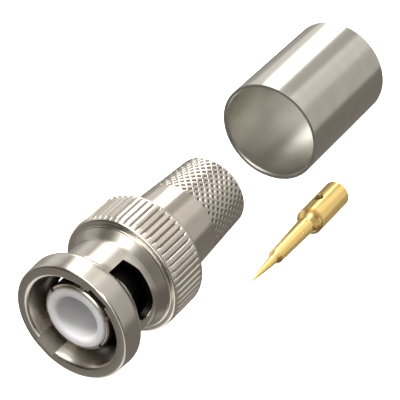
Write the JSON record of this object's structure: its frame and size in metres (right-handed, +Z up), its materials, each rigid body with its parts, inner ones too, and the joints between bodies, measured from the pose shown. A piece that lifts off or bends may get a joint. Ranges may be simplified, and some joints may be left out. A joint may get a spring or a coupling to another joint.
{
  "type": "bnc connector",
  "caption": "Crimp bayonet plug for thick coaxial cable: connector with turning coupling nut, loose crimp ferrule behind it and gold centre contact beside it.",
  "frame": {"origin": "on the connector's axis at the front face of the coupling nut", "axes": "+Y along the connector's axis from the mating end to the cable end, +Z up from the surface it lies on, +X towards the centre contact"},
  "size_m": [0.0181, 0.0598, 0.0144],
  "materials": {
    "nickel": "bright nickel plating over brass",
    "gold": "satin gold plating over brass",
    "insulator_white": "smooth white fluoropolymer",
    "seal": "matt black rubber",
    "spring_metal": "plain spring strip"
  },
  "bodies": {
    "connector_body": {"body_shell": "nickel", "outer_contact": "nickel", "insulator": "insulator_white", "gasket": "seal", "front_washer": "spring_metal", "wave_spring": "spring_metal", "center_contact": "gold"},
    "thrust_washer": {"rear_washer": "spring_metal"},
    "nut": {"coupling_nut": "nickel", "snap_ring": "spring_metal"},
    "ferrule": {"crimp_ferrule": "nickel"}
  },
  "joints": [
    {"name": "nut_draw", "type": "slide", "parent": "connector_body", "child": "thrust_washer", "axis": [0, -1, 0], "range_m": [0, 0.0005], "stiffness_N_per_m": 500, "springref_m": -0.0005, "deforming": ["wave_spring"]},
    {"name": "nut_turn", "type": "hinge", "parent": "thrust_washer", "child": "nut", "pos_m": [0, 0, 0], "axis": [0, 1, 0], "continuous": true},
    {"name": "ferrule_slide", "type": "slide", "parent": "connector_body", "child": "ferrule", "axis": [0.0372, -0.999, 0.0266], "range_m": [0, 0.0274]}
  ]
}
